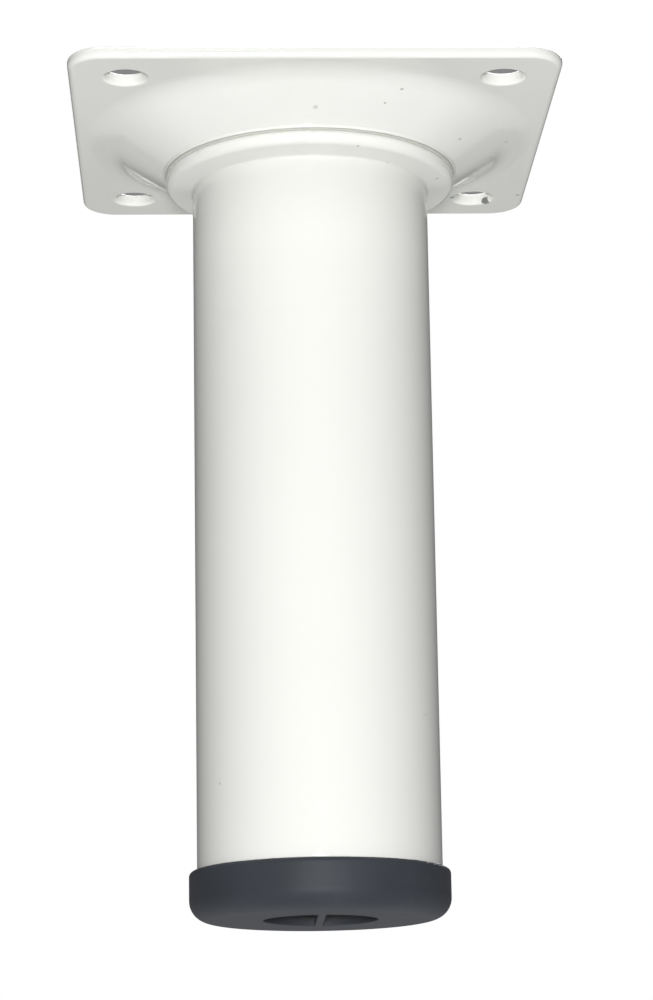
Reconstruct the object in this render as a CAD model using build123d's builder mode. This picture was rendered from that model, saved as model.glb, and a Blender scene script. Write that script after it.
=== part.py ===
from build123d import *
from math import atan2, tan
import os

# Furniture leg: a round steel tube on a square screw plate, with a push-in foot cap.
# The origin is at the centre of the foot's underside, +Z runs up to the mounting face. Millimetres.

# Overall
leg_height = 100.0  # from the floor to the plate's lower face

# Screw plate
plate_side = 60.0
plate_thickness = 1.5
plate_corner_radius = 4.5
plate_edge_rounding = 0.4
screw_spacing = 46.0
screw_hole_diameter = 5.1
screw_hole_chamfer = 0.3

# Round dome pressed into the plate, towards the floor
dome_base_diameter = 53.0  # where its slope would meet the flat of the plate
dome_height = 4.8  # from the plate's lower face to the seat of the tube's bead
dome_shoulder_width = 0.65  # level rim left outside the bead's recess
dome_base_bend = 3.0  # inner radius of the bend into the flat
dome_shoulder_bend = 1.2  # inner radius of the bend into the seat
dome_brim = 0.3  # flat ring kept round the bend
lip_height = 0.35  # raised round the seat by the pressing
lip_width = 0.5
lip_chamfer = 0.15

# Tube
tube_diameter = 30.0
tube_wall = 0.9

# Bead folded into the tube's wall, which carries the plate
bead_reach = 3.5  # how far the bead stands out from the tube
bead_fold_gap = 0.1  # left between the two leaves of the fold
bead_root_rounding = 1.0  # outside, where the bead leaves the tube
neck_rounding = 0.3  # outside, where the tube passes the plate
flare_reach = 3.0  # how far the tube's end is rolled out behind the dome

# Foot cap
cap_overhang = 1.0  # from the tube's outside to the head's
cap_head_height = 6.0
cap_floor_rounding = 2.5
cap_shoulder_rounding = 0.6
pocket_diameter = 14.0
pocket_depth = 2.0
pocket_corner_rounding = 0.6
pocket_rib_width = 1.0
plug_length = 15.0
plug_wall = 1.6
plug_floor = 2.0  # solid between the pockets and the plug's cavity
plug_tip_chamfer = 0.8
lamella_count = 4
lamella_pitch = 3.0
lamella_height = 1.0
lamella_reach = 0.8  # how far a lamella stands out from the plug

# Fits
bead_crevice = 0.45  # from the bead's rim to the lip of its seat
neck_clearance = 0.05  # from the tube to the edge of the plate's hole
plug_clearance = 0.05  # from the lamellae to the tube's bore

# Levels and radii that follow from the sizes above
flat_level = leg_height
mounting_level = flat_level + plate_thickness
seat_level = flat_level - dome_height
dome_back_level = seat_level + plate_thickness

tube_radius = tube_diameter / 2
bore_radius = tube_radius - tube_wall
bead_radius = tube_radius + bead_reach
flare_radius = tube_radius + flare_reach
neck_hole_radius = tube_radius + neck_clearance
neck_hole_chamfer = neck_rounding + neck_clearance
lip_radius = bead_radius + bead_crevice

# Cross-section of the pressed sheet, drawn along the middle of its thickness
dome_base_radius = dome_base_diameter / 2
dome_shoulder_radius = lip_radius + dome_shoulder_width
dome_slope = atan2(dome_height, dome_base_radius - dome_shoulder_radius)
middle_shift = plate_thickness / 2 * tan(dome_slope / 2)
base_corner = dome_base_radius - middle_shift
shoulder_corner = dome_shoulder_radius - middle_shift
base_middle_bend = dome_base_bend + plate_thickness / 2
shoulder_middle_bend = dome_shoulder_bend + plate_thickness / 2
dome_rim_radius = base_corner + base_middle_bend * tan(dome_slope / 2) + dome_brim

with BuildPart() as mounting_plate:
    # Square sheet with rounded corners and edges
    with BuildSketch(Plane.XY.offset(flat_level)):
        RectangleRounded(plate_side, plate_side, plate_corner_radius)
    extrude(amount=plate_thickness)
    fillet(mounting_plate.edges().filter_by(Plane.XY), radius=plate_edge_rounding)

    # Four screw holes with chamfered edges
    with Locations(Plane.XY.offset(mounting_level)):
        with GridLocations(screw_spacing, screw_spacing, 2, 2):
            Hole(radius=screw_hole_diameter / 2, depth=plate_thickness)
    screw_hole_edges = mounting_plate.edges(Select.LAST).filter_by(GeomType.CIRCLE)
    chamfer(screw_hole_edges, length=screw_hole_chamfer)

    # The dome takes the place of the sheet's round middle
    with BuildSketch(Plane.XY.offset(flat_level)):
        Circle(dome_rim_radius)
    extrude(amount=plate_thickness, mode=Mode.SUBTRACT)
    with BuildSketch(Plane.XZ) as dome_section:
        with BuildLine():
            FilletPolyline(
                (neck_hole_radius, seat_level + plate_thickness / 2),
                (shoulder_corner, seat_level + plate_thickness / 2),
                (base_corner, flat_level + plate_thickness / 2),
                (dome_rim_radius, flat_level + plate_thickness / 2),
                radius=[shoulder_middle_bend, base_middle_bend],
            )
        trace(line_width=plate_thickness)
        chamfer(dome_section.vertices().group_by(Axis.X)[0], length=neck_hole_chamfer)
    with BuildSketch(Plane.XZ) as lip_section:
        with Locations((lip_radius, seat_level - lip_height)):
            Rectangle(lip_width, lip_height + plate_thickness / 2, align=(Align.MIN, Align.MIN))
        chamfer(lip_section.vertices().group_by(Axis.Y)[0], length=lip_chamfer)
    revolve(axis=Axis.Z)
mounting_plate.part.label = "mounting_plate"

# Tube's wall, drawn along its middle from the foot cap up through the bead to the flare
wall_radius = tube_radius - tube_wall / 2
root_bend = bead_root_rounding + tube_wall / 2
neck_bend = neck_rounding + tube_wall / 2
rim_bend = (tube_wall + bead_fold_gap) / 2
rim_centre_radius = bead_radius - tube_wall / 2 - rim_bend
upper_leaf_level = seat_level - tube_wall / 2
lower_leaf_level = upper_leaf_level - 2 * rim_bend
flare_level = dome_back_level + tube_wall / 2

with BuildPart() as leg_tube:
    with BuildSketch(Plane.XZ):
        with BuildLine():
            shank = Line((wall_radius, cap_head_height), (wall_radius, lower_leaf_level - root_bend))
            root = JernArc(shank @ 1, shank % 1, root_bend, -90)
            lower_leaf = Line(root @ 1, (rim_centre_radius, lower_leaf_level))
            rim = JernArc(lower_leaf @ 1, lower_leaf % 1, rim_bend, 180)
            upper_leaf = Line(rim @ 1, (wall_radius + neck_bend, upper_leaf_level))
            neck_root = JernArc(upper_leaf @ 1, upper_leaf % 1, neck_bend, -90)
            neck = Line(neck_root @ 1, (wall_radius, flare_level - neck_bend))
            flare_root = JernArc(neck @ 1, neck % 1, neck_bend, -90)
            Line(flare_root @ 1, (flare_radius, flare_level))
        trace(line_width=tube_wall)
    revolve(axis=Axis.Z)
leg_tube.part.label = "leg_tube"

# Foot cap: head under the tube, hollow plug inside it
head_radius = tube_radius + cap_overhang
lamella_radius = bore_radius - plug_clearance
plug_radius = lamella_radius - lamella_reach
cavity_radius = plug_radius - plug_wall
cavity_level = pocket_depth + plug_floor
plug_top_level = cap_head_height + plug_length

with BuildPart() as foot_cap:
    # Head with a rounded foot and shoulder
    with BuildSketch():
        Circle(head_radius)
    extrude(amount=cap_head_height)
    fillet(foot_cap.edges().sort_by(Axis.Z)[0], radius=cap_floor_rounding)
    fillet(foot_cap.edges().sort_by(Axis.Z)[-1], radius=cap_shoulder_rounding)

    # Plug with a chamfered tip
    with BuildSketch(Plane.XY.offset(cap_head_height)):
        Circle(plug_radius)
    extrude(amount=plug_length)
    chamfer(foot_cap.edges().sort_by(Axis.Z)[-1], length=plug_tip_chamfer)

    # Lamellae round the plug, each a wedge that is widest at its foot
    with BuildSketch(Plane.XZ):
        for lamella in range(lamella_count):
            lamella_level = cap_head_height + lamella_pitch * (lamella + 0.5)
            with BuildLine():
                Polyline(
                    (plug_radius - plug_wall / 2, lamella_level),
                    (lamella_radius, lamella_level),
                    (plug_radius, lamella_level + lamella_height),
                    (plug_radius - plug_wall / 2, lamella_level + lamella_height),
                    close=True,
                )
            make_face()
    revolve(axis=Axis.Z)

    # Plug's cavity, open to the tube's bore
    with BuildSketch(Plane.XY.offset(cavity_level)):
        Circle(cavity_radius)
    extrude(amount=plug_top_level - cavity_level, mode=Mode.SUBTRACT)

    # Two half-moon pockets in the foot, either side of a rib
    with BuildSketch() as pockets:
        Circle(pocket_diameter / 2)
        Rectangle(pocket_rib_width, pocket_diameter, mode=Mode.SUBTRACT)
        fillet(pockets.vertices(), radius=pocket_corner_rounding)
    extrude(amount=pocket_depth, mode=Mode.SUBTRACT)
foot_cap.part.label = "foot_cap"

os.makedirs("parts", exist_ok=True)
for piece in (mounting_plate.part, leg_tube.part, foot_cap.part):
    export_step(piece, f"parts/{piece.label}.step")
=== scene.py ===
import logging
import math
from contextlib import contextmanager
from dataclasses import dataclass
from enum import Enum
from typing import Any, Callable, Iterator, Optional, Sequence

import bmesh
import bpy
from mathutils import Matrix, Vector


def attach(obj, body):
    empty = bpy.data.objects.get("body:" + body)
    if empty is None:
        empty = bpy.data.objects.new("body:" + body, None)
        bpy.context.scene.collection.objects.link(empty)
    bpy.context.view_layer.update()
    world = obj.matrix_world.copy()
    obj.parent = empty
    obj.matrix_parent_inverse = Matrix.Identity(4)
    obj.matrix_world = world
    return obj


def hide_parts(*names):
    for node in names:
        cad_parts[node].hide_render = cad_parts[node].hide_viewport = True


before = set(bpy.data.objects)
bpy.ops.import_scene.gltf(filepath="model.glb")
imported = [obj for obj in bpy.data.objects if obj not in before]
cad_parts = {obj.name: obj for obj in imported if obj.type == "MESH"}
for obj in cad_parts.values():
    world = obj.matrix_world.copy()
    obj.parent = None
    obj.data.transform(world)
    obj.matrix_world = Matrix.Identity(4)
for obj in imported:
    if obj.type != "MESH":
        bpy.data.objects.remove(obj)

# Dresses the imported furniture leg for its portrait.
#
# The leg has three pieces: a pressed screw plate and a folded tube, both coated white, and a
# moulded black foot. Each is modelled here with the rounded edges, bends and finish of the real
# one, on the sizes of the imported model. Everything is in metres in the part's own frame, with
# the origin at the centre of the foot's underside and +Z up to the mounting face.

LOG = logging.getLogger("table_leg")
MM = 0.001
STEPS_ROUND = 256
STAGE_STEPS = 96
SNAP = 0.002 * MM
SHARP = math.radians(70.0)

Point = tuple[float, float, float]
Colour = tuple[float, float, float]
Test = Callable[[Any], bool]
Piece = bpy.types.Object
Material = bpy.types.Material
Tree = bpy.types.NodeTree

WHITE: Colour = (1.0, 1.0, 1.0)

# What a node group's sockets carry, where it isn't a plain number
CARRIED = {"Place": "NodeSocketVector", "Centre": "NodeSocketVector", "Colour": "NodeSocketColor"}


class Kind(Enum):
    """What an edit-mode selection picks, with Blender's word for it."""

    POINTS = "VERT"
    EDGES = "EDGE"
    FACES = "FACE"


class Slot(Enum):
    """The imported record's material slots."""

    PAINT = "white_paint"
    PLASTIC = "black_plastic"


# Bench work: selecting, cutting and rounding, shared by all pieces


def deselect_all() -> None:
    """Clears the selection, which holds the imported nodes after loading."""
    bpy.ops.object.select_all(action="DESELECT")


def take(piece: Piece) -> None:
    """Makes one piece the only selected and active one.

    Args:
        piece: the object to take.
    """
    deselect_all()
    piece.select_set(True)
    bpy.context.view_layer.objects.active = piece


def start_piece(name: str, add: Callable[..., Any], **settings: Any) -> Piece:
    """Adds a primitive at its size and place, and puts both into its mesh.

    Args:
        name: the piece's name, in letters, digits and underscores.
        add: Blender's operator for the primitive.
        settings: the operator's own, such as its size and place.

    Returns:
        The piece, at the origin, unturned and unscaled.
    """
    deselect_all()
    add(**settings)
    piece = bpy.context.object
    piece.name = name
    piece.data.name = name
    bpy.ops.object.transform_apply(location=True, rotation=True, scale=True)
    return piece


@contextmanager
def editing(piece: Piece) -> Iterator[None]:
    """Opens a piece in edit mode for as long as the block lasts.

    Args:
        piece: the mesh object to open.
    """
    take(piece)
    bpy.ops.object.mode_set(mode="EDIT")
    yield
    bpy.ops.object.mode_set(mode="OBJECT")


def select_whole() -> None:
    """Selects all of the open piece."""
    bpy.ops.mesh.select_all(action="SELECT")


def pick(piece: Piece, kind: Kind, wanted: Test) -> None:
    """Selects, in edit mode, the parts of a mesh that pass a test.

    Args:
        piece: the mesh object that is open.
        kind: whether points, edges or faces are picked.
        wanted: the test, given each point, edge or face in turn.
    """
    bpy.ops.mesh.select_mode(type=kind.value)
    bpy.ops.mesh.select_all(action="DESELECT")
    mesh = bmesh.from_edit_mesh(piece.data)
    parts = {Kind.POINTS: mesh.verts, Kind.EDGES: mesh.edges, Kind.FACES: mesh.faces}[kind]
    for part in [part for part in parts if wanted(part)]:
        part.select_set(True)
    bmesh.update_edit_mesh(piece.data)


def round_edges(piece: Piece, wanted: Test, width: float, segments: int) -> None:
    """Rounds over, in edit mode, the edges of a mesh that pass a test.

    Args:
        piece: the mesh object that is open.
        wanted: the test, given each edge in turn.
        width: of the bevel.
        segments: how many faces go round it.
    """
    pick(piece, Kind.EDGES, wanted)
    bpy.ops.mesh.bevel(
        offset_type="OFFSET",
        offset=width,
        segments=segments,
        profile=0.5,
        affect="EDGES",
        clamp_overlap=True,
    )


def near(value: float, target: float) -> bool:
    """Whether two lengths are the same to within a few microns."""
    return abs(value - target) < 5 * SNAP


def radius_of(place: Vector, centre: tuple[float, float] = (0.0, 0.0)) -> float:
    """Distance of a point from an upright axis through centre."""
    return math.hypot(place.x - centre[0], place.y - centre[1])


def lies_at(part: Any, level: float) -> bool:
    """Whether an edge or face lies flat at that height."""
    return all(near(point.co.z, level) for point in part.verts)


def goes_round(part: Any, radius: float, centre: tuple[float, float] = (0.0, 0.0)) -> bool:
    """Whether an edge or face keeps that distance from an upright axis through centre."""
    return all(near(radius_of(point.co, centre), radius) for point in part.verts)


def is_level(edge: Any) -> bool:
    """Whether both ends of an edge are at the same height."""
    return near(edge.verts[0].co.z, edge.verts[1].co.z)


def is_sharp(edge: Any) -> bool:
    """Whether two faces meet at an edge nearly squarely."""
    return edge.calc_face_angle(0.0) > SHARP


def close_seams() -> None:
    """Merges the open piece's doubled points and turns its faces outwards."""
    select_whole()
    bpy.ops.mesh.remove_doubles(threshold=SNAP)
    bpy.ops.mesh.normals_make_consistent(inside=False)


def apply_modifier(piece: Piece, kind: str, **settings: Any) -> None:
    """Adds a modifier with its settings and applies it.

    Args:
        piece: the mesh object.
        kind: Blender's type of modifier.
        settings: values for the modifier's properties.
    """
    take(piece)
    modifier = piece.modifiers.new(kind.lower(), kind)
    for key, value in settings.items():
        setattr(modifier, key, value)
    bpy.ops.object.modifier_apply(modifier=modifier.name)


def join_to(piece: Piece, others: Sequence[Piece]) -> None:
    """Makes other meshes part of a piece.

    Args:
        piece: the mesh object that stays.
        others: the mesh objects that go into it.
    """
    take(piece)
    for other in others:
        other.select_set(True)
    bpy.ops.object.join()


def cut_away(piece: Piece, cutters: Sequence[Piece]) -> None:
    """Cuts several bodies out of a piece and throws them away.

    Args:
        piece: the mesh object that is cut.
        cutters: closed bodies that don't touch each other.
    """
    cutter = cutters[0]
    join_to(cutter, cutters[1:])
    apply_modifier(piece, "BOOLEAN", operation="DIFFERENCE", solver="EXACT", object=cutter)
    bpy.data.objects.remove(cutter)


def smooth(piece: Piece, degrees: float = 32.0) -> None:
    """Shades a piece smooth, flat faces staying flat beside their rounded edges.

    Args:
        piece: the finished mesh object.
        degrees: the sharpest crease that is still shaded smooth.
    """
    take(piece)
    bpy.ops.object.shade_smooth_by_angle(angle=math.radians(degrees))
    apply_modifier(piece, "WEIGHTED_NORMAL", keep_sharp=True, weight=60)


class WallPen:
    """Draws the middle line of a sheet's wall in the XZ plane, then turns it into a shell."""

    def __init__(self, name: str, radius: float, level: float, heading: float) -> None:
        """Starts a line as one point.

        Args:
            name: the piece's name.
            radius: distance of the first point from the axis.
            level: height of the first point.
            heading: direction to set out in, in degrees; 0 is outwards and 90 is up.
        """
        add = bpy.ops.mesh.primitive_plane_add
        self.piece = start_piece(name, add, size=MM, location=(radius, 0.0, level))
        self.radius = radius
        self.level = level
        self.heading = math.radians(heading)
        bpy.ops.object.mode_set(mode="EDIT")
        bpy.ops.mesh.select_mode(type=Kind.POINTS.value)
        select_whole()
        bpy.ops.mesh.merge(type="CENTER")

    def run(self, length: float) -> None:
        """Draws a straight run.

        Args:
            length: how far it goes on in the line's direction.
        """
        across = length * math.cos(self.heading)
        up = length * math.sin(self.heading)
        bpy.ops.mesh.extrude_region_move(TRANSFORM_OT_translate={"value": (across, 0.0, up)})
        self.radius += across
        self.level += up

    def run_to_radius(self, radius: float) -> None:
        """Draws a straight run that ends at that distance from the axis."""
        self.run((radius - self.radius) / math.cos(self.heading))

    def run_to_level(self, level: float) -> None:
        """Draws a straight run that ends at that height."""
        self.run((level - self.level) / math.sin(self.heading))

    def turn(self, bend: float, degrees: float, steps: int) -> None:
        """Draws an arc that goes on smoothly from the line.

        Args:
            bend: the arc's radius.
            degrees: how far it turns, positive to the left of the way it goes.
            steps: how many edges it has.
        """
        side = math.copysign(1.0, degrees)
        turned = math.radians(degrees)
        across = self.radius - side * bend * math.sin(self.heading)
        up = self.level + side * bend * math.cos(self.heading)
        bpy.ops.mesh.spin(
            steps=steps, angle=turned, center=(across, 0.0, up), axis=(0.0, 1.0, 0.0)
        )
        self.heading += turned
        self.radius = across + side * bend * math.sin(self.heading)
        self.level = up - side * bend * math.cos(self.heading)

    def shell(self, thickness: float) -> Piece:
        """Spins the line once round the axis and gives the surface its thickness.

        Args:
            thickness: of the sheet, half of it either side of the line.

        Returns:
            The finished shell.
        """
        select_whole()
        bpy.ops.mesh.spin(
            steps=STEPS_ROUND, angle=math.tau, center=(0.0, 0.0, 0.0), axis=(0.0, 0.0, 1.0)
        )
        close_seams()
        bpy.ops.object.mode_set(mode="OBJECT")
        apply_modifier(
            self.piece,
            "SOLIDIFY",
            thickness=thickness,
            offset=0.0,
            use_even_offset=True,
            use_quality_normals=True,
        )
        return self.piece


# Node work


class Sheet:
    """Thin helper round a node tree that adds, sets and links nodes."""

    def __init__(self, tree: Tree) -> None:
        """Keeps the tree and empties it."""
        self.tree = tree
        tree.nodes.clear()

    def node(self, kind: str, inputs: Optional[dict[Any, Any]] = None, **settings: Any) -> Any:
        """Adds a node.

        Args:
            kind: Blender's class of node.
            inputs: values or sockets for its inputs, by name or number.
            settings: values for its own properties.

        Returns:
            The new node.
        """
        made = self.tree.nodes.new(kind)
        for key, value in settings.items():
            setattr(made, key, value)
        for key, value in (inputs or {}).items():
            self.feed(made.inputs[key], value)
        return made

    def feed(self, socket: bpy.types.NodeSocket, value: Any) -> None:
        """Links a socket to another one, or sets its value.

        Args:
            socket: the input to feed.
            value: a number, a colour, a vector or another node's socket.
        """
        if isinstance(value, bpy.types.NodeSocket):
            self.tree.links.new(value, socket)
        elif socket.type == "RGBA" and len(value) == 3:
            socket.default_value = (*value, 1.0)
        else:
            socket.default_value = value

    def group(self, tree: Tree, *values: Any) -> Any:
        """Places a shared group with values in its inputs' order and gives its output."""
        inputs = dict(enumerate(values))
        return self.node("ShaderNodeGroup", inputs, node_tree=tree).outputs[0]

    def maths(self, operation: str, *values: Any) -> Any:
        """Adds a Math node for numbers or sockets, in order, and gives its result."""
        inputs = dict(enumerate(values))
        return self.node("ShaderNodeMath", inputs, operation=operation).outputs[0]

    def vector_maths(self, operation: str, output: str, inputs: dict[Any, Any]) -> Any:
        """Adds a Vector Math node and gives one of its outputs."""
        return self.node("ShaderNodeVectorMath", inputs, operation=operation).outputs[output]

    def off(self, value: Any, middle: float) -> Any:
        """Gives how far a value is from a middle one, either way."""
        return self.maths("ABSOLUTE", self.maths("SUBTRACT", value, middle))

    def ramp(self, value: Any, low: Any, high: Any, start: float = 0.0, end: float = 1.0) -> Any:
        """Maps a value smoothly from one range to another.

        Args:
            value: number socket to map.
            low: value that gives start, as a number or socket.
            high: value that gives end, as a number or socket.
            start: result at low.
            end: result at high.

        Returns:
            The result's socket.
        """
        made = self.node(
            "ShaderNodeMapRange",
            {"Value": value, "From Min": low, "From Max": high, "To Min": start, "To Max": end},
            interpolation_type="SMOOTHSTEP",
        )
        return made.outputs["Result"]

    def blend(self, share: Any, first: Any, second: Any) -> Any:
        """Mixes two colours.

        Args:
            share: of the second colour, from 0 to 1.
            first: colour or socket.
            second: colour or socket.

        Returns:
            The mixed colour's socket.
        """
        inputs = {"Factor": share, 6: first, 7: second}
        made = self.node("ShaderNodeMix", inputs, data_type="RGBA", blend_type="MIX")
        return made.outputs[2]

    def place(self) -> Any:
        """Adds Texture Coordinate and gives its Object socket."""
        return self.node("ShaderNodeTexCoord").outputs["Object"]

    def height(self, place: Any) -> Any:
        """Gives the upright part of a place or direction."""
        return self.node("ShaderNodeSeparateXYZ", {0: place}).outputs["Z"]

    def radius(self, place: Any) -> Any:
        """Gives the distance of a place from the leg's axis."""
        flat = self.vector_maths("MULTIPLY", "Vector", {0: place, 1: (1.0, 1.0, 0.0)})
        return self.vector_maths("LENGTH", "Value", {0: flat})

    def noise(self, place: Any, scale: Any, detail: float = 2.0, roughness: float = 0.5) -> Any:
        """Adds a noise texture and gives its value.

        Args:
            place: position socket.
            scale: waves to the metre.
            detail: octaves.
            roughness: weight of the finer octaves.

        Returns:
            The value's socket, about 0 to 1.
        """
        inputs = {"Vector": place, "Scale": scale, "Detail": detail, "Roughness": roughness}
        return self.node("ShaderNodeTexNoise", inputs, noise_dimensions="3D").outputs["Fac"]

    def bump(self, height: Any, depth: float) -> Any:
        """Adds a Bump node of that depth and gives its normal."""
        inputs = {"Strength": 1.0, "Distance": depth, "Height": height}
        return self.node("ShaderNodeBump", inputs).outputs["Normal"]

    def lit(self, kind: str, level: Any) -> Any:
        """Adds an Emission or Background node of white light and gives its output."""
        return self.node(kind, {"Color": WHITE, "Strength": level}).outputs[0]

    def mix(self, share: Any, first: Any, second: Any) -> Any:
        """Mixes two shaders by the share of the second one."""
        return self.node("ShaderNodeMixShader", {0: share, 1: first, 2: second}).outputs[0]

    def show(self, shader: Any, kind: str = "ShaderNodeOutputMaterial") -> None:
        """Adds the tree's output node and links the finished shader to it."""
        self.node(kind, {"Surface": shader})


def new_material(name: str) -> tuple[Material, Sheet]:
    """Makes a material.

    Args:
        name: the material's name.

    Returns:
        The material and its empty sheet of nodes.
    """
    material = bpy.data.materials.new(name)
    material.use_nodes = True
    return material, Sheet(material.node_tree)


class Effects:
    """The shader node groups that the finishes share, each built once."""

    FINER_WAVES = 3.7
    SPOT_EDGE_WAVES = 3100.0
    SPOT_FADE = (0.7, 1.15)
    RUB_ANGLE = math.radians(27.0)
    RUB_STRETCH = (1.0, 0.09, 0.3)
    RUB_OCTAVES = (4.0, 0.62)
    RUB_FADE = (0.52, 0.72)
    RUB_PATCH_WAVES = 110.0
    RUB_PATCH_FADE = (0.42, 0.62)

    def __init__(self) -> None:
        """Builds every group."""
        self.tone_drift = self.build_tone_drift()
        self.fine_relief = self.build_fine_relief()
        self.dust = self.build_dust()
        self.spot = self.build_spot()
        self.rub = self.build_rub()

    @staticmethod
    def start(name: str, inputs: Sequence[str], output: str) -> tuple[Sheet, Any, Any]:
        """Opens a group and makes its sockets, whose names tell what they carry.

        Args:
            name: the group's name.
            inputs: the inputs' names, in order.
            output: the output's name.

        Returns:
            The group's node sheet, its given values by name and its output's socket.
        """
        tree = bpy.data.node_groups.new(name, "ShaderNodeTree")
        for socket, side in [(socket, "INPUT") for socket in inputs] + [(output, "OUTPUT")]:
            kind = CARRIED.get(socket, "NodeSocketFloat")
            tree.interface.new_socket(name=socket, in_out=side, socket_type=kind)
        sheet = Sheet(tree)
        given = sheet.node("NodeGroupInput").outputs
        return sheet, given, sheet.node("NodeGroupOutput").inputs[output]

    def build_tone_drift(self) -> Tree:
        """Makes the group that lets a colour drift a little lighter and darker.

        Returns:
            The group.
        """
        inputs = ["Place", "Colour", "Patches per metre", "Drift"]
        sheet, given, result = self.start("tone_drift", inputs, "Colour")
        cloud = sheet.noise(given["Place"], given["Patches per metre"], 3.0)
        centred = sheet.maths("SUBTRACT", cloud, 0.5)
        swing = sheet.maths("MULTIPLY_ADD", centred, given["Drift"], 1.0)
        toned = sheet.vector_maths("SCALE", "Vector", {0: given["Colour"], "Scale": swing})
        sheet.feed(result, toned)
        return sheet.tree

    def build_fine_relief(self) -> Tree:
        """Makes the group for the fine waves of sprayed paint or the grain of a mould.

        Returns:
            The group.
        """
        inputs = ["Place", "Waves per metre", "Fine share"]
        sheet, given, result = self.start("fine_relief", inputs, "Height")
        broad = sheet.noise(given["Place"], given["Waves per metre"], 1.0)
        finer = sheet.maths("MULTIPLY", given["Waves per metre"], self.FINER_WAVES)
        fine = sheet.noise(given["Place"], finer, 2.0)
        sheet.feed(result, sheet.maths("MULTIPLY_ADD", fine, given["Fine share"], broad))
        return sheet.tree

    def build_dust(self) -> Tree:
        """Makes the group for grains of dust scattered over a surface.

        Returns:
            The group.
        """
        inputs = ["Place", "Cells per metre", "Grain size", "Share"]
        sheet, given, result = self.start("dust", inputs, "Mask")
        cells = sheet.node(
            "ShaderNodeTexVoronoi",
            {"Vector": given["Place"], "Scale": given["Cells per metre"]},
            voronoi_dimensions="3D",
            feature="F1",
        ).outputs
        core = sheet.maths("MULTIPLY", given["Grain size"], 0.5)
        grain = sheet.ramp(cells["Distance"], core, given["Grain size"], 1.0, 0.0)
        parts = sheet.node("ShaderNodeSeparateColor", {"Color": cells["Color"]})
        kept = sheet.maths("LESS_THAN", parts.outputs["Red"], given["Share"])
        sheet.feed(result, sheet.maths("MULTIPLY", grain, kept))
        return sheet.tree

    def build_spot(self) -> Tree:
        """Makes the group for one small ragged spot at a given place.

        Returns:
            The group.
        """
        inputs = ["Place", "Centre", "Radius", "Raggedness"]
        sheet, given, result = self.start("spot", inputs, "Mask")
        away = sheet.vector_maths("DISTANCE", "Value", {0: given["Place"], 1: given["Centre"]})
        share = sheet.maths("DIVIDE", away, given["Radius"])
        edge_noise = sheet.noise(given["Place"], self.SPOT_EDGE_WAVES)
        centred = sheet.maths("SUBTRACT", edge_noise, 0.5)
        ragged = sheet.maths("MULTIPLY_ADD", centred, given["Raggedness"], share)
        sheet.feed(result, sheet.ramp(ragged, *self.SPOT_FADE, 1.0, 0.0))
        return sheet.tree

    def build_rub(self) -> Tree:
        """Makes the group for faint rub marks, long one way and thin the other.

        Returns:
            The group.
        """
        inputs = ["Place", "Marks per metre", "Amount"]
        sheet, given, result = self.start("rub", inputs, "Mask")
        turn = (0.0, 0.0, self.RUB_ANGLE)
        drawn = sheet.node(
            "ShaderNodeMapping",
            {"Vector": given["Place"], "Rotation": turn, "Scale": self.RUB_STRETCH},
        ).outputs["Vector"]
        streaks = sheet.noise(drawn, given["Marks per metre"], *self.RUB_OCTAVES)
        marks = sheet.ramp(streaks, *self.RUB_FADE)
        patch_noise = sheet.noise(given["Place"], self.RUB_PATCH_WAVES)
        patches = sheet.ramp(patch_noise, *self.RUB_PATCH_FADE)
        both = sheet.maths("MULTIPLY", marks, patches)
        sheet.feed(result, sheet.maths("MULTIPLY", both, given["Amount"]))
        return sheet.tree


@dataclass(frozen=True)
class Fleck:
    """One dark fleck in the coat. Its place and radius are in millimetres."""

    place: Point
    radius: float
    strength: float = 0.5


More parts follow.
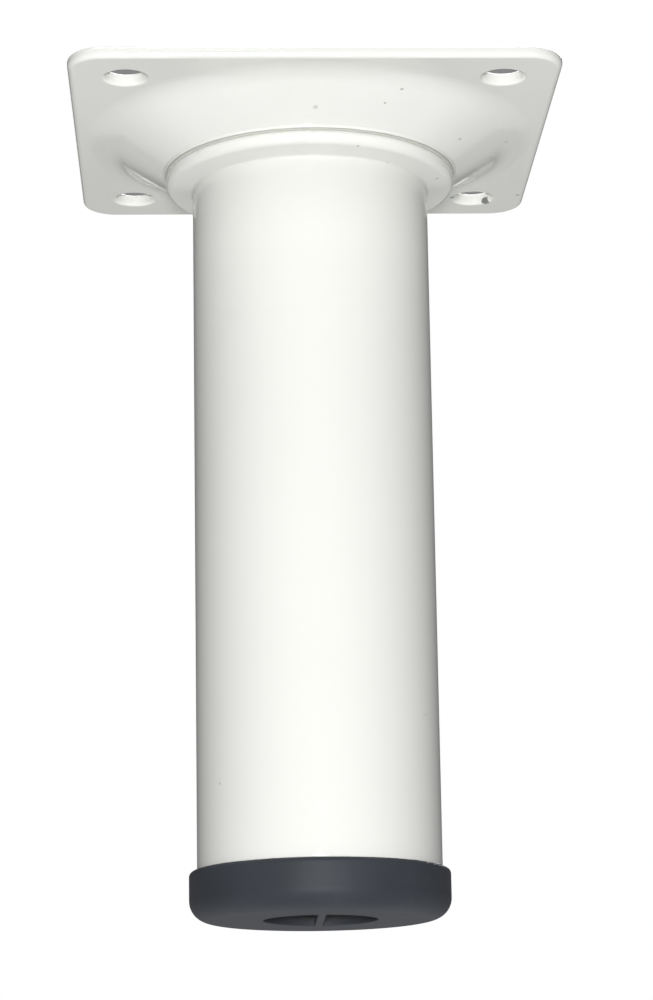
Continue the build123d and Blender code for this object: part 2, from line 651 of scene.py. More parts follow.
@dataclass(frozen=True)
class WhiteCoat:
    """Gloss white powder coat over steel, with the bare bore where the spray didn't reach."""

    colour: Colour = (0.885, 0.893, 0.852)
    tone_patches: float = 46.0
    tone_drift: float = 0.045
    gloss_roughness: float = 0.07
    rub_marks: float = 900.0
    rub_amount: float = 0.12
    peel_waves: float = 520.0
    peel_fine_share: float = 0.12
    peel_depth: float = 0.0016 * MM

    # Dust that was caught in the coat, and the flecks that show in the portrait
    dust_cells: float = 240.0
    dust_grain: float = 0.055
    dust_share: float = 0.07
    dust_strength: float = 0.4
    speck_roughness: float = 0.4
    fleck_colour: Colour = (0.20, 0.21, 0.20)
    fleck_raggedness: float = 0.9
    flecks: tuple[Fleck, ...] = (
        Fleck((0.11, -21.22, 96.89), 0.31, 0.3),
        Fleck((10.67, -22.12, 98.86), 0.22),
        Fleck((8.65, -20.68, 97.59), 0.18),
        Fleck((18.68, -9.80, 96.81), 0.24),
        Fleck((25.29, -1.77, 99.26), 0.27),
        Fleck((23.40, 1.34, 98.20), 0.28),
        Fleck((22.34, 6.57, 98.11), 0.30),
        Fleck((18.94, 0.74, 95.55), 0.22),
        Fleck((29.03, 21.58, 100.00), 0.34),
        Fleck((9.27, -12.00, 92.89), 0.22),
        Fleck((16.01, -5.19, 93.17), 0.22),
        Fleck((5.43, -17.01, 93.35), 0.18),
        Fleck((20.31, 22.60, 100.09), 0.45, 1.0),
        Fleck((24.87, 24.79, 100.24), 0.62, 1.0),
    )

    # Bare steel deep in the bore, below the reach of the spray
    steel_colour: Colour = (0.42, 0.41, 0.39)
    steel_roughness: float = 0.3
    steel_metallic: float = 0.5
    bore_radius: float = 14.3 * MM
    spray_reach_level: float = 80.0 * MM
    spray_fade: float = 9.0 * MM
    spray_patches: float = 160.0
    spray_wander: float = 14.0 * MM

    # Painted shade: a greyer coat on the tube right under its bead, where the plate keeps light off
    root_shade_colour: Colour = (0.790, 0.797, 0.760)
    root_radius: float = 15.02 * MM
    root_fade: float = 0.45 * MM
    root_start: float = 82.0 * MM
    root_end: float = 92.5 * MM

    # Painted shade: a fine darker line in the seam round the bead, where shade falls
    seam_shade_colour: Colour = (0.60, 0.595, 0.57)
    seam_radius: float = 18.48 * MM
    seam_core: float = 0.12 * MM
    seam_reach: float = 0.22 * MM
    seam_level: float = 94.98 * MM
    seam_depth: float = 0.15 * MM

    def add_specks(self, sheet: Sheet, place: Any, effects: Effects) -> Any:
        """Adds the dust and the flecks.

        Args:
            sheet: the material's nodes.
            place: position socket.
            effects: the shared node groups.

        Returns:
            The specks' mask.
        """
        grains = (self.dust_cells, self.dust_grain, self.dust_share)
        dust = sheet.group(effects.dust, place, *grains)
        specks = sheet.maths("MULTIPLY", dust, self.dust_strength)
        for fleck in self.flecks:
            centre = [value * MM for value in fleck.place]
            radius = fleck.radius * MM
            spot = sheet.group(effects.spot, place, centre, radius, self.fleck_raggedness)
            specks = sheet.maths("MAXIMUM", specks, sheet.maths("MULTIPLY", spot, fleck.strength))
        return specks

    def build(self, name: str, effects: Effects) -> Material:
        """Makes the material.

        Args:
            name: the material's name.
            effects: the shared node groups.

        Returns:
            The material.
        """
        material, sheet = new_material(name)
        place = sheet.place()
        radius = sheet.radius(place)
        height = sheet.height(place)

        tone = (self.colour, self.tone_patches, self.tone_drift)
        toned = sheet.group(effects.tone_drift, place, *tone)
        specks = self.add_specks(sheet, place, effects)
        coat = sheet.blend(specks, toned, self.fleck_colour)

        # Painted shade: the tube greys towards its bead, where the plate keeps light off
        on_tube = sheet.ramp(radius, self.root_radius, self.root_radius + self.root_fade, 1.0, 0.0)
        below_bead = sheet.maths("LESS_THAN", height, self.seam_level)
        rising = sheet.ramp(height, self.root_start, self.root_end)
        shaded_under_bead = sheet.maths("MULTIPLY", rising, sheet.maths("MULTIPLY", on_tube, below_bead))
        coat = sheet.blend(shaded_under_bead, coat, self.root_shade_colour)

        # Painted shade: the seam round the bead is darkened where shade falls
        off_seam = sheet.off(radius, self.seam_radius)
        in_seam = sheet.ramp(off_seam, self.seam_core, self.seam_reach, 1.0, 0.0)
        above = sheet.ramp(height, self.seam_level, self.seam_level + self.seam_depth)
        coat = sheet.blend(sheet.maths("MULTIPLY", in_seam, above), coat, self.seam_shade_colour)

        in_bore = sheet.maths("LESS_THAN", radius, self.bore_radius)
        wander = sheet.noise(place, self.spray_patches, 3.0)
        depth = sheet.maths("MULTIPLY_ADD", wander, self.spray_wander, height)
        reach_end = self.spray_reach_level + self.spray_fade
        unsprayed = sheet.ramp(depth, self.spray_reach_level, reach_end, 1.0, 0.0)
        bare = sheet.maths("MULTIPLY", in_bore, unsprayed)

        rub = sheet.group(effects.rub, place, self.rub_marks, self.rub_amount)
        rubbed = sheet.maths("ADD", sheet.maths("MULTIPLY", specks, self.speck_roughness), rub)
        gloss = sheet.maths("ADD", rubbed, self.gloss_roughness)

        relief = sheet.group(effects.fine_relief, place, self.peel_waves, self.peel_fine_share)
        shader = sheet.node(
            "ShaderNodeBsdfPrincipled",
            {
                "Base Color": sheet.blend(bare, coat, self.steel_colour),
                "Roughness": sheet.maths("MULTIPLY_ADD", bare, self.steel_roughness, gloss),
                "Metallic": sheet.maths("MULTIPLY", bare, self.steel_metallic),
                "Normal": sheet.bump(relief, self.peel_depth),
            },
        )
        sheet.show(shader.outputs["BSDF"])
        return material


@dataclass(frozen=True)
class BlackMoulding:
    """Matt black moulded plastic with a fine mould grain and a scuffed underside."""

    colour: Colour = (0.039, 0.044, 0.053)
    tone_patches: float = 120.0
    tone_drift: float = 0.5
    roughness: float = 0.55
    specular_level: float = 0.20
    grain_waves: float = 5200.0
    grain_fine_share: float = 0.4
    grain_depth: float = 0.004 * MM

    # Rub marks and dust, strongest on the underside
    scuff_colour: Colour = (0.075, 0.078, 0.082)
    scuff_roughness: float = 0.2
    scuff_start: float = 0.3 * MM
    scuff_end: float = 1.4 * MM
    scuff_least: float = 0.12
    rub_marks: float = 1500.0
    rub_amount: float = 0.75
    dust_cells: float = 700.0
    dust_grain: float = 0.12
    dust_share: float = 0.25

    # Painted light: the two pockets made lighter the deeper they go, where little light reaches
    pocket_light_colour: Colour = (0.11, 0.112, 0.115)
    pocket_light_share: float = 0.85
    pocket_light_start: float = 0.2 * MM
    pocket_light_end: float = 1.2 * MM
    pocket_radius: float = 7.1 * MM

    def build(self, name: str, effects: Effects) -> Material:
        """Makes the material.

        Args:
            name: the material's name.
            effects: the shared node groups.

        Returns:
            The material.
        """
        material, sheet = new_material(name)
        place = sheet.place()
        height = sheet.height(place)

        tone = (self.colour, self.tone_patches, self.tone_drift)
        toned = sheet.group(effects.tone_drift, place, *tone)
        rub = sheet.group(effects.rub, place, self.rub_marks, self.rub_amount)
        grains = (self.dust_cells, self.dust_grain, self.dust_share)
        worn = sheet.maths("MAXIMUM", rub, sheet.group(effects.dust, place, *grains))
        low = sheet.ramp(height, self.scuff_start, self.scuff_end, 1.0, self.scuff_least)
        scuffed = sheet.maths("MULTIPLY", worn, low)
        colour = sheet.blend(scuffed, toned, self.scuff_colour)

        # Painted light: the pockets grow lighter the deeper they go
        in_pocket = sheet.maths("LESS_THAN", sheet.radius(place), self.pocket_radius)
        start, end = self.pocket_light_start, self.pocket_light_end
        deep = sheet.ramp(height, start, end, 0.0, self.pocket_light_share)
        lit_pocket = sheet.maths("MULTIPLY", in_pocket, deep)

        relief = sheet.group(effects.fine_relief, place, self.grain_waves, self.grain_fine_share)
        rougher = sheet.maths("MULTIPLY_ADD", scuffed, self.scuff_roughness, self.roughness)
        shader = sheet.node(
            "ShaderNodeBsdfPrincipled",
            {
                "Base Color": sheet.blend(lit_pocket, colour, self.pocket_light_colour),
                "Roughness": rougher,
                "Specular IOR Level": self.specular_level,
                "Normal": sheet.bump(relief, self.grain_depth),
            },
        )
        sheet.show(shader.outputs["BSDF"])
        return material


# The pieces


def dress(piece: Piece, material: Material, node: str) -> None:
    """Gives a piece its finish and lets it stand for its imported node.

    Args:
        piece: the finished mesh object.
        material: its finish.
        node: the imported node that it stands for.
    """
    piece.data.materials.clear()
    piece.data.materials.append(material)
    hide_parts(node)
    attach(piece, "root")


@dataclass
class MountingPlate:
    """Square pressed sheet with a dome towards the floor and four screw holes."""

    side: float = 60.0 * MM
    thickness: float = 1.5 * MM
    flat_level: float = 100.0 * MM
    corner_radius: float = 4.5 * MM
    edge_rounding: float = 0.65 * MM
    screw_spacing: float = 46.0 * MM
    screw_hole_radius: float = 2.55 * MM
    screw_hole_steps: int = 72
    screw_entry_rounding: float = 0.42 * MM
    screw_exit_rounding: float = 0.25 * MM
    dome_height: float = 4.8 * MM
    dome_base_radius: float = 26.5 * MM
    dome_base_bend: float = 8.4 * MM
    dome_shoulder_bend: float = 1.2 * MM
    dome_brim: float = 0.1 * MM
    dome_shoulder_radius: float = 18.37 * MM
    step_inner_radius: float = 18.75 * MM
    step_outer_radius: float = 18.83 * MM
    step_rounding: float = 0.06 * MM
    neck_hole_radius: float = 15.05 * MM
    neck_hole_rounding: float = 0.35 * MM

    @property
    def mounting_level(self) -> float:
        """Height of the sheet's upper face."""
        return self.flat_level + self.thickness

    @property
    def seat_level(self) -> float:
        """Height of the lower face that the tube's bead sits on."""
        return self.flat_level - self.dome_height

    @property
    def slope(self) -> float:
        """Angle of the dome's side against the flat, in radians."""
        return math.atan2(self.dome_height, self.dome_base_radius - self.dome_shoulder_radius)

    @property
    def base_corner(self) -> float:
        """Radius at which the middle line of the dome's side meets the flat."""
        return self.dome_base_radius - self.thickness / 2 * math.tan(self.slope / 2)

    @property
    def shoulder_corner(self) -> float:
        """Radius at which the middle line of the dome's side meets the seat."""
        return self.dome_shoulder_radius - self.thickness / 2 * math.tan(self.slope / 2)

    @property
    def base_bend(self) -> float:
        """Bend radius of the middle line at the dome's foot."""
        return self.dome_base_bend + self.thickness / 2

    @property
    def rim_radius(self) -> float:
        """Radius at which the dome goes over into the flat sheet."""
        return self.base_corner + self.base_bend * math.tan(self.slope / 2) + self.dome_brim

    def screw_places(self) -> list[tuple[float, float]]:
        """Centres of the four screw holes."""
        half = self.screw_spacing / 2
        return [(x, y) for x in (-half, half) for y in (-half, half)]

    def build_sheet(self) -> Piece:
        """Cuts the flat sheet with its rounded corners, edges and holes.

        Returns:
            The sheet, open round the dome.
        """
        sheet = start_piece(
            "pressed_plate",
            bpy.ops.mesh.primitive_cube_add,
            size=1.0,
            location=(0.0, 0.0, self.flat_level + self.thickness / 2),
            scale=(self.side, self.side, self.thickness),
        )
        with editing(sheet):
            round_edges(sheet, lambda e: not is_level(e), self.corner_radius, segments=14)
        cutters = [self.build_drill((0.0, 0.0), self.rim_radius, STEPS_ROUND)]
        for place in self.screw_places():
            cutters.append(self.build_drill(place, self.screw_hole_radius, self.screw_hole_steps))
        cut_away(sheet, cutters)
        with editing(sheet):
            for level, rounding, segments in (
                (self.flat_level, self.screw_entry_rounding, 6),
                (self.mounting_level, self.screw_exit_rounding, 4),
            ):
                round_edges(sheet, lambda e: self.is_screw_hole_edge(e, level), rounding, segments)
            round_edges(sheet, self.is_outline_edge, self.edge_rounding, segments=8)
            self.open_rim(sheet)
        return sheet

    def build_drill(self, place: tuple[float, float], radius: float, steps: int) -> Piece:
        """Makes a round cutter that goes through the sheet.

        Args:
            place: the hole's centre.
            radius: the hole's radius.
            steps: how many faces go round it.

        Returns:
            The cutter.
        """
        return start_piece(
            "drill",
            bpy.ops.mesh.primitive_cylinder_add,
            vertices=steps,
            radius=radius,
            depth=4 * self.thickness,
            location=(*place, self.flat_level + self.thickness / 2),
        )

    def is_screw_hole_edge(self, edge: Any, level: float) -> bool:
        """Whether an edge goes round a screw hole at that height."""
        return lies_at(edge, level) and any(
            goes_round(edge, self.screw_hole_radius, place) for place in self.screw_places()
        )

    def is_outline_edge(self, edge: Any) -> bool:
        """Whether an edge goes round the sheet's outside, on either face.

        Args:
            edge: of the sheet.

        Returns:
            True for the edges between the faces and the outer wall only.
        """
        middle = (edge.verts[0].co + edge.verts[1].co) / 2
        at_screw = any(
            radius_of(middle, place) < 2 * self.screw_hole_radius for place in self.screw_places()
        )
        outside = radius_of(middle) > self.rim_radius + MM
        return is_level(edge) and is_sharp(edge) and outside and not at_screw

    def open_rim(self, piece: Piece) -> None:
        """Takes out the upright wall at which sheet and dome meet."""
        pick(piece, Kind.FACES, lambda f: goes_round(f, self.rim_radius))
        bpy.ops.mesh.delete(type="FACE")

    def build_dome(self) -> Piece:
        """Turns the pressed dome with its seat and neck hole.

        Returns:
            The dome, open where the flat sheet goes on.
        """
        middle = self.thickness / 2
        shoulder_bend = self.dome_shoulder_bend + middle
        outer_bend = shoulder_bend + middle
        slope = math.degrees(self.slope)
        bend_start = self.shoulder_corner - shoulder_bend * math.tan(self.slope / 2)
        bend_reach = self.base_bend * math.tan(self.slope / 2)
        to_step, past_step = (
            math.degrees(math.asin((radius - bend_start) / outer_bend))
            for radius in (self.step_inner_radius, self.step_outer_radius)
        )

        pen = WallPen("dome", self.neck_hole_radius, self.seat_level + middle, heading=0.0)
        pen.run_to_radius(bend_start)
        pen.turn(shoulder_bend, to_step, steps=5)
        pen.turn(shoulder_bend, past_step - to_step, steps=1)
        pen.turn(shoulder_bend, slope - past_step, steps=3)
        pen.run_to_radius(self.base_corner - bend_reach * math.cos(self.slope))
        pen.turn(self.base_bend, -slope, steps=24)
        pen.run_to_radius(self.rim_radius)
        dome = pen.shell(self.thickness)
        with editing(dome):
            self.open_rim(dome)
            pick(dome, Kind.POINTS, self.is_seat_point)
            bpy.ops.transform.resize(
                value=(1.0, 1.0, 0.0), center_override=(0.0, 0.0, self.seat_level)
            )
            seat, back = self.seat_level, self.seat_level + self.thickness
            for radius, level, rounding, segments in (
                (self.step_inner_radius, seat, self.step_rounding, 3),
                (self.neck_hole_radius, seat, self.neck_hole_rounding, 5),
                (self.neck_hole_radius, back, self.neck_hole_rounding, 5),
            ):
                round_edges(
                    dome, lambda e: goes_round(e, radius) and lies_at(e, level), rounding, segments
                )
        return dome

    def is_seat_point(self, point: Any) -> bool:
        """Whether a point of the dome's lower side belongs to the flat seat of the bead."""
        below = point.co.z < self.seat_level + self.thickness / 2
        return below and radius_of(point.co) < self.step_inner_radius + 5 * SNAP

    def build(self, coat: Material) -> Piece:
        """Builds the whole plate and dresses it.

        Args:
            coat: the white finish.

        Returns:
            The finished plate.
        """
        plate = self.build_sheet()
        join_to(plate, [self.build_dome()])
        with editing(plate):
            close_seams()
        smooth(plate)
        dress(plate, coat, "mounting_plate")
        return plate


@dataclass
class LegTube:
    """Round tube whose wall is folded into a bead under the plate and flared behind it.

    The bead's lower leaf rises outwards by lower_leaf_rise, in degrees.
    """

    outer_radius: float = 15.0 * MM
    wall: float = 0.9 * MM
    foot_level: float = 6.0 * MM
    root_bend: float = 0.78 * MM
    lower_leaf_rise: float = 9.0
    fold_bend: float = 0.5 * MM
    fold_centre_radius: float = 17.55 * MM
    fold_centre_level: float = 94.25 * MM
    neck_bend: float = 0.75 * MM
    flare_level: float = 97.15 * MM
    flare_radius: float = 18.0 * MM
    end_rounding: float = 0.22 * MM

    def is_end_edge(self, edge: Any) -> bool:
        """Whether an edge goes round the cut end of the wall, at the foot or the flare."""
        at_end = lies_at(edge, self.foot_level) or goes_round(edge, self.flare_radius)
        return at_end and is_sharp(edge)

    def build(self, coat: Material) -> Piece:
        """Builds the tube and dresses it.

        Args:
            coat: the white finish.

        Returns:
            The finished tube.
        """
        middle_radius = self.outer_radius - self.wall / 2
        rise = math.radians(self.lower_leaf_rise)
        leaf_start = middle_radius + self.root_bend * (1.0 - math.sin(rise))
        leaf_end = self.fold_centre_radius + self.fold_bend * math.sin(rise)
        leaf_end_level = self.fold_centre_level - self.fold_bend * math.cos(rise)
        leaf_start_level = leaf_end_level - (leaf_end - leaf_start) * math.tan(rise)

        pen = WallPen("folded_tube", middle_radius, self.foot_level, heading=90.0)
        pen.run_to_level(leaf_start_level - self.root_bend * math.cos(rise))
        pen.turn(self.root_bend, self.lower_leaf_rise - 90.0, steps=12)
        pen.run_to_radius(leaf_end)
        pen.turn(self.fold_bend, 180.0 - self.lower_leaf_rise, steps=18)
        pen.run_to_radius(middle_radius + self.neck_bend)
        pen.turn(self.neck_bend, -90.0, steps=8)
        pen.run_to_level(self.flare_level - self.neck_bend)
        pen.turn(self.neck_bend, -90.0, steps=8)
        pen.run_to_radius(self.flare_radius)
        tube = pen.shell(self.wall)
        with editing(tube):
            round_edges(tube, self.is_end_edge, self.end_rounding, segments=4)
        smooth(tube)
        dress(tube, coat, "leg_tube")
        return tube


@dataclass
class FootCap:
    """Moulded cap: a rounded head with two pockets, and a hollow plug with lamellae."""

    head_radius: float = 16.0 * MM
    head_height: float = 6.0 * MM
    floor_rounding: float = 2.5 * MM
    shoulder_rounding: float = 0.6 * MM
    plug_radius: float = 13.25 * MM
    plug_length: float = 15.0 * MM
    tip_chamfer: float = 0.8 * MM
    lamella_radius: float = 14.05 * MM
    lamella_height: float = 1.0 * MM
    lamella_pitch: float = 3.0 * MM
    lamella_count: int = 4
    cavity_radius: float = 11.65 * MM
    cavity_level: float = 4.0 * MM
    pocket_radius: float = 7.0 * MM
    pocket_steps: int = 128
    pocket_depth: float = 2.0 * MM
    pocket_rib: float = 1.0 * MM
    pocket_corner: float = 0.6 * MM
    pocket_edge: float = 0.28 * MM

    def build_head(self) -> Piece:
        """Turns the rounded head.

        Returns:
            The head, with a flat round face on top for the plug to grow from.
        """
        head = start_piece(
            "moulded_foot",
            bpy.ops.mesh.primitive_cylinder_add,
            vertices=STEPS_ROUND,
            radius=self.head_radius,
            depth=self.head_height,
            location=(0.0, 0.0, self.head_height / 2),
        )
        with editing(head):
            round_edges(head, lambda e: lies_at(e, 0.0), self.floor_rounding, segments=12)
            round_edges(
                head, lambda e: lies_at(e, self.head_height), self.shoulder_rounding, segments=6
            )
        return head

    def grow(self, rise: float, start: float, end: float) -> None:
        """Extrudes the picked round face and takes it to a new radius.

        Args:
            rise: how far up the face goes.
            start: its radius now.
            end: its radius afterwards.
        """
        bpy.ops.mesh.extrude_region_move(TRANSFORM_OT_translate={"value": (0.0, 0.0, rise)})
        ratio = end / start
        bpy.ops.transform.resize(value=(ratio, ratio, 1.0), center_override=(0.0, 0.0, 0.0))

    def is_head_top(self, face: Any) -> bool:
        """Whether a face is the flat round one on top of the head."""
        return len(face.verts) == STEPS_ROUND and face.calc_center_median().z > MM

    def add_plug(self, foot: Piece) -> None:
        """Grows the plug with its lamellae out of the head and hollows it.

        Args:
            foot: the head.
        """
        plug, lamella = self.plug_radius, self.lamella_radius
        tip = plug - self.tip_chamfer
        used = (self.lamella_count - 0.5) * self.lamella_pitch + self.lamella_height
        depth = self.head_height + self.plug_length - self.cavity_level
        gap = self.lamella_pitch / 2
        with editing(foot):
            pick(foot, Kind.FACES, self.is_head_top)
            self.grow(0.0, self.head_radius - self.shoulder_rounding, plug)
            for _ in range(self.lamella_count):
                self.grow(gap, plug, plug)
                self.grow(0.0, plug, lamella)
                self.grow(self.lamella_height, lamella, plug)
                gap = self.lamella_pitch - self.lamella_height
            self.grow(self.plug_length - used - self.tip_chamfer, plug, plug)
            self.grow(self.tip_chamfer, plug, tip)
            self.grow(0.0, tip, self.cavity_radius)
            self.grow(-depth, self.cavity_radius, self.cavity_radius)

    def build_half_moon(self, side: float) -> Piece:
        """Makes the cutter for the pocket on one side of the rib.

        Args:
            side: 1 for the +X side, -1 for the -X side.

        Returns:
            The cutter.
        """
        moon = start_piece(
            "half_moon",
            bpy.ops.mesh.primitive_cylinder_add,
            vertices=self.pocket_steps,
            radius=self.pocket_radius,
            depth=2 * self.pocket_depth,
            location=(0.0, 0.0, 0.0),
        )
        flat = side * self.pocket_rib / 2
        with editing(moon):
            select_whole()
            bpy.ops.mesh.bisect(
                plane_co=(flat, 0.0, 0.0),
                plane_no=(side, 0.0, 0.0),
                use_fill=True,
                clear_inner=True,
            )
            round_edges(
                moon,
                lambda e: not is_level(e) and all(near(v.co.x, flat) for v in e.verts),
                self.pocket_corner,
                segments=6,
            )
        return moon

    def is_pocket_edge(self, edge: Any) -> bool:
        """Whether an edge goes round a pocket, at its mouth or its floor."""
        within = all(radius_of(v.co) < self.pocket_radius + 0.2 * MM for v in edge.verts)
        return within and is_sharp(edge) and any(lies_at(edge, z) for z in (0.0, self.pocket_depth))

    def build(self, moulding: Material) -> Piece:
        """Builds the cap and dresses it.

        Args:
            moulding: the black finish.

        Returns:
            The finished cap.
        """
        foot = self.build_head()
        self.add_plug(foot)
        cut_away(foot, [self.build_half_moon(side) for side in (-1.0, 1.0)])
        with editing(foot):
            round_edges(foot, self.is_pocket_edge, self.pocket_edge, segments=4)
            close_seams()
        smooth(foot)
        dress(foot, moulding, "foot_cap")
        return foot


# The studio


@dataclass
class Portrait:
    """The photograph's camera, as fitted to the leg's outline.

    Its angles are in degrees, and its lens and sensor in millimetres.
    """

    place: Point = (-13.6 * MM, -382.9 * MM, -36.93 * MM)
    yaw: float = 2.2613
    pitch: float = 13.1438
    roll: float = -0.9161
    lens: float = 112.871
    sensor: float = 36.0

    def build(self) -> None:
        """Sets up the camera as the scene's own."""
        yaw, pitch, roll = (math.radians(a) for a in (self.yaw, self.pitch, self.roll))
        ahead = Vector(
            (math.sin(yaw) * math.cos(pitch), math.cos(yaw) * math.cos(pitch), math.sin(pitch))
        )
        right = Vector((math.cos(yaw), -math.sin(yaw), 0.0))
        up = right.cross(ahead)
        turned_right = math.cos(roll) * right + math.sin(roll) * up
        turned_up = -math.sin(roll) * right + math.cos(roll) * up
        axes = Matrix((turned_right, turned_up, -ahead)).transposed()
        data = bpy.data.cameras.new("portrait_camera")
        data.lens = self.lens
        data.sensor_width = self.sensor
        data.clip_start = 10 * MM
        data.clip_end = 10.0
        camera = bpy.data.objects.new("portrait_camera", data)
        camera.matrix_world = Matrix.Translation(self.place) @ axes.to_4x4()
        bpy.context.scene.collection.objects.link(camera)
        bpy.context.scene.camera = camera


@dataclass(frozen=True)
class Lamp:
    """A soft round lamp that looks at the leg.

    Its level is the strength at which it lights a surface that faces it.
    """

    name: str
    place: Point
    target: Point
    diameter: float
    level: float
    mirrored: bool = True

    def build(self) -> None:
        """Hangs the lamp, which shows in reflections only if it is a mirrored one."""
        data = bpy.data.lights.new(self.name, "AREA")
        data.shape = "DISK"
        data.size = self.diameter
        away = Vector(self.place) - Vector(self.target)
        data.energy = self.level * math.pi**2 * away.length_squared
        lamp = bpy.data.objects.new(self.name, data)
        lamp.rotation_mode = "QUATERNION"
        lamp.location = self.place
        lamp.rotation_quaternion = away.to_track_quat("Z", "Y")
        lamp.visible_glossy = self.mirrored
        bpy.context.scene.collection.objects.link(lamp)


def stage_piece(piece: Piece, material: Material, unseen_by: Sequence[str] = ()) -> None:
    """Gives a piece of the set its material and keeps it out of some light.

    Args:
        piece: the mesh object, which isn't part of the leg.
        material: its material.
        unseen_by: the kinds of ray that pass it, in Blender's words.
    """
    piece.data.materials.append(material)
    for ray in unseen_by:
        setattr(piece, "visible_" + ray, False)


def inset_whole(piece: Piece, width: float) -> None:
    """Gives a flat piece a rim of that width."""
    with editing(piece):
        select_whole()
        bpy.ops.mesh.inset(thickness=width)


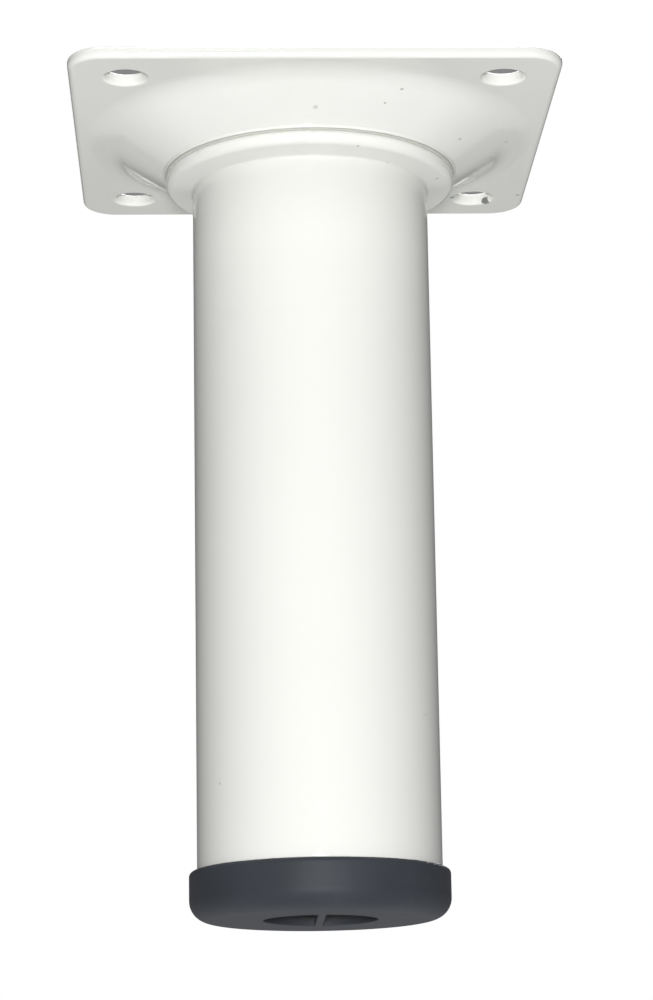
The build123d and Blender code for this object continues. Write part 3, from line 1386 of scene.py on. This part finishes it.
@dataclass
class Studio:
    """Plain pale surroundings and soft light, with the photograph's lamp close to its lens.

    Every level is a strength of light, where 1 is white. The surround's low_level comes from
    below and its high_level from above, and level_turn is how steep a ray is at either.
    """

    low_level: float = 0.31
    high_level: float = 0.11
    level_turn: float = 0.35
    screen_level: float = 0.13
    screen_radius: float = 1000.0 * MM
    screen_middle: float = 50.0 * MM
    screen_dark_reach: float = 360.0 * MM
    screen_reach: float = 1250.0 * MM
    band_level: float = 0.20
    band_middle: float = -40.0 * MM
    band_core: float = 28.5 * MM
    band_reach: float = 190.0 * MM
    foot_level: float = 0.27
    foot_start: float = -242.0 * MM
    foot_end: float = -285.0 * MM
    # Painted shade: a glowing card behind the plate, seen only through its holes
    card_side: float = 54.0 * MM
    card_rim: float = 5.4 * MM
    card_level: float = 101.9 * MM
    card_shade_level: float = 0.24
    floor_radius: float = 260.0 * MM
    floor_rim: float = 91.0 * MM
    floor_fade_start: float = 91.0 * MM
    floor_fade_end: float = 247.0 * MM
    floor_drop: float = 0.15 * MM
    floor_colour: Colour = (0.93, 0.93, 0.93)
    lamps: tuple[Lamp, ...] = (
        Lamp("lens_lamp", (-0.0136, -0.3829, -0.016), (0.0, 0.0, 0.05), 0.034, 0.84),
        Lamp("glint_lamp", (-0.020, -0.3829, -0.0369), (0.0, 0.0, 0.095), 0.012, 0.025),
        Lamp("rear_lamp", (0.2, 0.9, 0.65), (0.0, 0.0, 0.05), 0.50, 0.62),
        Lamp("low_lamp", (0.0, 0.54, -0.78), (0.0, 0.0, 0.1), 0.70, 0.235, mirrored=False),
        Lamp("top_lamp", (-0.1, 0.05, 1.1), (0.0, 0.0, 0.1), 0.50, 0.50),
    )

    def build_surround(self) -> None:
        """Makes the world: white to the eye and in reflections, else a soft light from below."""
        world = bpy.data.worlds.new("pale_surround")
        bpy.context.scene.world = world
        world.use_nodes = True
        sheet = Sheet(world.node_tree)
        rays = sheet.node("ShaderNodeLightPath").outputs
        seen = sheet.maths("MAXIMUM", rays["Is Camera Ray"], rays["Is Glossy Ray"])
        seen = sheet.maths("MAXIMUM", seen, rays["Is Transmission Ray"])
        way = sheet.height(sheet.node("ShaderNodeTexCoord").outputs["Generated"])
        turn = self.level_turn
        level = sheet.ramp(way, -turn, turn, self.low_level, self.high_level)
        light = sheet.lit("ShaderNodeBackground", level)
        white = sheet.lit("ShaderNodeBackground", 1.0)
        sheet.show(sheet.mix(seen, light, white), "ShaderNodeOutputWorld")

    def build_screen(self) -> None:
        """Stands a dark screen round the set, which shows in reflections only.

        It draws the edges of the white tube, as black cards do on a photographer's table. A
        soft band at about the lens's height and the part below foot_start are a little
        lighter, and it fades to white at its head and foot.
        """
        screen = start_piece(
            "edge_screen",
            bpy.ops.mesh.primitive_cylinder_add,
            vertices=STAGE_STEPS,
            radius=self.screen_radius,
            depth=2 * self.screen_reach,
            end_fill_type="NOTHING",
            location=(0.0, 0.0, self.screen_middle),
        )
        material, sheet = new_material("dark_screen")
        height = sheet.height(sheet.place())
        away = sheet.off(height, self.screen_middle)
        level = sheet.ramp(away, self.screen_dark_reach, self.screen_reach, self.screen_level, 1.0)
        off_band = sheet.off(height, self.band_middle)
        band = sheet.ramp(off_band, self.band_core, self.band_reach, self.band_level, 0.0)
        foot = sheet.ramp(height, self.foot_end, self.foot_start, self.foot_level, 0.0)
        level = sheet.maths("ADD", sheet.maths("ADD", level, band), foot)
        sheet.show(sheet.lit("ShaderNodeEmission", level))
        unseen_by = ("camera", "diffuse", "transmission", "volume_scatter", "shadow")
        stage_piece(screen, material, unseen_by)

    def build_shade_card(self) -> None:
        """Lays a glowing card behind the plate as painted shade: it only shows through the plate's
        holes from below, standing in for the shade seen through them.
        """
        add = bpy.ops.mesh.primitive_plane_add
        place = (0.0, 0.0, self.card_level)
        card = start_piece("shade_card", add, size=self.card_side, location=place)
        inset_whole(card, self.card_rim)
        material, sheet = new_material("painted_shade_card")
        under = sheet.node("ShaderNodeNewGeometry").outputs["Backfacing"]
        clear = sheet.node("ShaderNodeBsdfTransparent").outputs["BSDF"]
        grey = sheet.lit("ShaderNodeEmission", self.card_shade_level)
        sheet.show(sheet.mix(under, clear, grey))
        unseen_by = ("diffuse", "glossy", "transmission", "volume_scatter", "shadow")
        stage_piece(card, material, unseen_by)

    def build_floor(self) -> None:
        """Lays the pale floor, which shows from above only and fades out round the foot."""
        floor = start_piece(
            "studio_floor",
            bpy.ops.mesh.primitive_circle_add,
            vertices=STAGE_STEPS,
            radius=self.floor_radius,
            fill_type="NGON",
            location=(0.0, 0.0, -self.floor_drop),
        )
        inset_whole(floor, self.floor_rim)
        material, sheet = new_material("pale_floor")
        away = sheet.radius(sheet.place())
        fade = sheet.ramp(away, self.floor_fade_start, self.floor_fade_end, 1.0, 0.0)
        rays = sheet.node("ShaderNodeLightPath").outputs
        under = sheet.node("ShaderNodeNewGeometry").outputs["Backfacing"]
        front = sheet.maths("SUBTRACT", 1.0, under)
        shown = sheet.maths("MULTIPLY", rays["Is Camera Ray"], front)
        clear = sheet.node("ShaderNodeBsdfTransparent").outputs["BSDF"]
        solid = sheet.node("ShaderNodeBsdfDiffuse", {"Color": self.floor_colour}).outputs["BSDF"]
        sheet.show(sheet.mix(sheet.maths("MULTIPLY", shown, fade), clear, solid))
        stage_piece(floor, material)

    def build(self) -> None:
        """Sets the whole studio up."""
        self.build_surround()
        self.build_screen()
        self.build_shade_card()
        self.build_floor()
        for lamp in self.lamps:
            lamp.build()
        bpy.context.scene.view_settings.view_transform = "Standard"
        LOG.info("studio has %d lamps", len(self.lamps))


def main() -> None:
    """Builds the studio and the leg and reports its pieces."""
    logging.basicConfig(level=logging.INFO, format="%(name)s: %(message)s")
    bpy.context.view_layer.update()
    Portrait().build()
    Studio().build()
    effects = Effects()
    coat = WhiteCoat().build("white_powder_coat", effects)
    moulding = BlackMoulding().build("black_moulding", effects)
    for assembly, finish in ((MountingPlate(), coat), (LegTube(), coat), (FootCap(), moulding)):
        piece = assembly.build(finish)
        piece.data.calc_loop_triangles()
        LOG.info("%s has %d triangles", piece.name, len(piece.data.loop_triangles))


if __name__ == "__main__":
    main()
